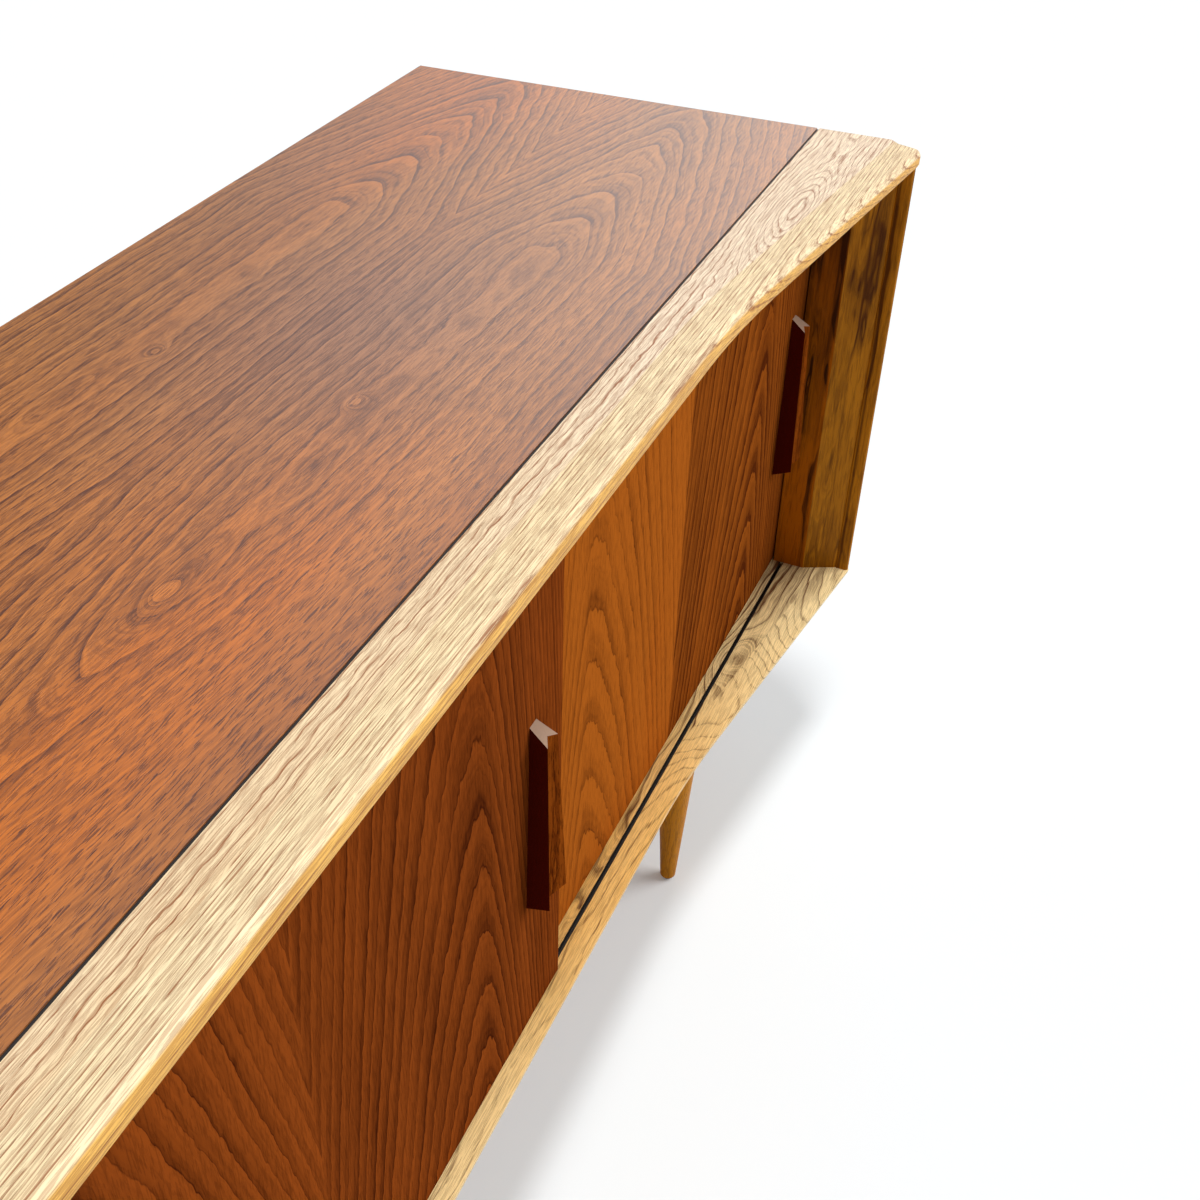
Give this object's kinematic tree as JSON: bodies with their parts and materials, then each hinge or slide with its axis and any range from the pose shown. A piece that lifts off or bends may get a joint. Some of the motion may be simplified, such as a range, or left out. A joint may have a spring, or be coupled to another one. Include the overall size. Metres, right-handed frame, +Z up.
{
  "type": "media cabinet",
  "caption": "Long low media cabinet with a bow-shaped front frame, sliding doors in two tracks, shelved compartments and turned legs.",
  "frame": {"origin": "on the floor, at the middle of the cabinet's footprint", "axes": "+Z up, +X along the length to the right as seen from the front, the doors face -Y"},
  "size_m": [1.7, 0.456, 0.635],
  "materials": {
    "walnut": "satin oiled walnut veneer",
    "black_line": "matte black line",
    "ash": "satin oiled pale ash",
    "brown_ash": "satin oiled brown-hearted ash",
    "door_walnut": "satin oiled walnut veneer",
    "pull_walnut": "satin dark hardwood",
    "track_black": "matte black extrusion",
    "screw_steel": "zinc-plated steel",
    "brass": "turned brass",
    "nylon": "matte dark nylon"
  },
  "bodies": {
    "case": {"top_panel": "walnut", "side_panel_left": "walnut", "side_panel_right": "walnut", "bottom_panel": "walnut", "partition_left": "walnut", "partition_right": "walnut", "shelf_left": "walnut", "shelf_middle": "walnut", "shelf_right": "walnut", "back_panel": "walnut", "top_line": "black_line", "side_line_left": "black_line", "side_line_right": "black_line", "bottom_line": "black_line", "top_band": "ash", "top_nose": "ash", "bottom_band": "ash", "bottom_nose": "ash", "side_band_left": "brown_ash", "side_nose_left": "brown_ash", "side_band_right": "brown_ash", "side_nose_right": "brown_ash", "leg_front_left": "brown_ash", "leg_front_right": "brown_ash", "leg_rear_left": "brown_ash", "leg_rear_right": "brown_ash", "track_liner_rear": "track_black", "track_liner_front": "track_black", "back_screws": "screw_steel", "hanger_bolt_front_left": "screw_steel", "hanger_bolt_front_right": "screw_steel", "hanger_bolt_rear_left": "screw_steel", "hanger_bolt_rear_right": "screw_steel", "shelf_pins": "brass", "leg_insert_front_left": "brass", "leg_insert_front_right": "brass", "leg_insert_rear_left": "brass", "leg_insert_rear_right": "brass", "glide_front_left": "nylon", "glide_front_right": "nylon", "glide_rear_left": "nylon", "glide_rear_right": "nylon"},
    "door_left": {"door_left": "door_walnut", "pull_left": "pull_walnut", "pull_screws_left": "screw_steel"},
    "door_middle": {"door_middle": "door_walnut", "pull_middle_left": "pull_walnut", "pull_middle_right": "pull_walnut", "pull_screws_middle": "screw_steel"},
    "door_right": {"door_right": "door_walnut", "pull_right": "pull_walnut", "pull_screws_right": "screw_steel"}
  },
  "joints": [
    {"name": "door_left_slide", "type": "slide", "parent": "case", "child": "door_left", "axis": [1, 0, 0], "range_m": [0, 0.245]},
    {"name": "door_middle_slide", "type": "slide", "parent": "case", "child": "door_middle", "axis": [1, 0, 0], "range_m": [-0.245, 0.245]},
    {"name": "door_right_slide", "type": "slide", "parent": "case", "child": "door_right", "axis": [-1, 0, 0], "range_m": [0, 0.245]}
  ]
}
